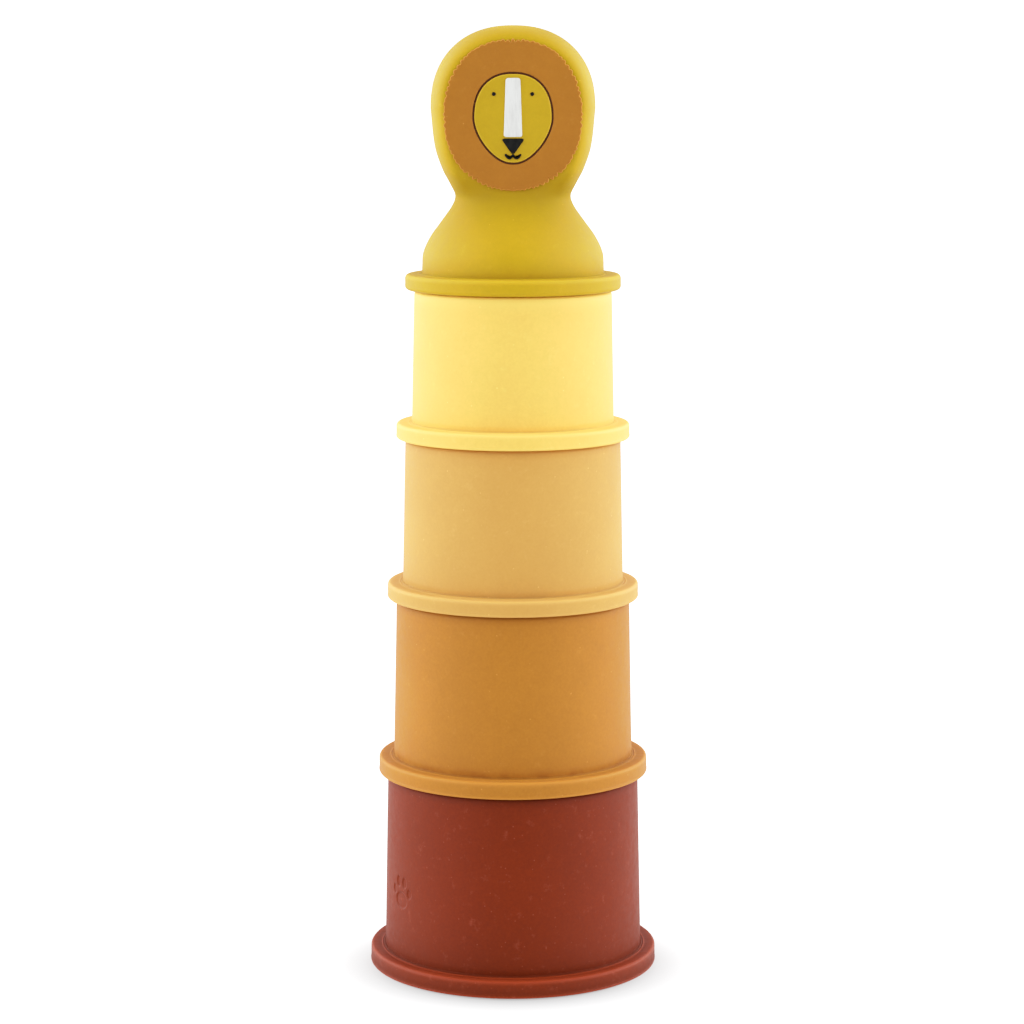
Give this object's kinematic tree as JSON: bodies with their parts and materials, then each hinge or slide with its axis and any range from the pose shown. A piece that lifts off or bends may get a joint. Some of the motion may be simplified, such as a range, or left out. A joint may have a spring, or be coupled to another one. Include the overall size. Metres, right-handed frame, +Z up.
{
  "type": "stacking cup tower",
  "caption": "Silicone stacking cups that stand mouth down in a tower, each on the one below, topped by a hollow lion figure.",
  "frame": {"origin": "centre of the underside of the lowest rim, where the tower stands", "axes": "+Z up the tower's axis, lion face towards -Y, +X to the right of someone facing the lion"},
  "size_m": [0.0908, 0.0908, 0.2937],
  "materials": {
    "terracotta_silicone": "matt terracotta silicone with a very fine grain",
    "ochre_silicone": "matt ochre silicone",
    "apricot_silicone": "matt pale apricot silicone",
    "pale_yellow_silicone": "matt pale yellow silicone, slightly translucent",
    "mustard_silicone": "matt mustard silicone, slightly satin on curved edges",
    "face_mustard_silicone": "matt mustard silicone, a shade darker",
    "mane_brown_silicone": "matt light brown silicone with a rounded edge",
    "outline_brown_silicone": "matt dark brown silicone",
    "nose_bridge_white_silicone": "matt off-white silicone",
    "nose_black_silicone": "satin near-black silicone"
  },
  "bodies": {
    "base": {"base_cup": "terracotta_silicone"},
    "second": {"second_cup": "ochre_silicone"},
    "third": {"third_cup": "apricot_silicone"},
    "fourth": {"fourth_cup": "pale_yellow_silicone"},
    "topper": {"lion_topper": "mustard_silicone", "mane_inlay": "mane_brown_silicone", "face_backing": "outline_brown_silicone", "face_panel": "face_mustard_silicone", "nose_bridge_inlay": "nose_bridge_white_silicone", "nose_inlay": "nose_black_silicone", "mouth_inlay": "nose_black_silicone", "eye_left_inlay": "nose_black_silicone", "eye_right_inlay": "nose_black_silicone"}
  },
  "joints": [
    {"name": "second_cup_lift", "type": "slide", "parent": "base", "child": "second", "axis": [0, 0, 1], "range_m": [0, 0.07]},
    {"name": "third_cup_lift", "type": "slide", "parent": "second", "child": "third", "axis": [0, 0, 1], "range_m": [0, 0.07]},
    {"name": "fourth_cup_lift", "type": "slide", "parent": "third", "child": "fourth", "axis": [0, 0, 1], "range_m": [0, 0.07]},
    {"name": "topper_lift", "type": "slide", "parent": "fourth", "child": "topper", "axis": [0, 0, 1], "range_m": [0, 0.07]}
  ]
}
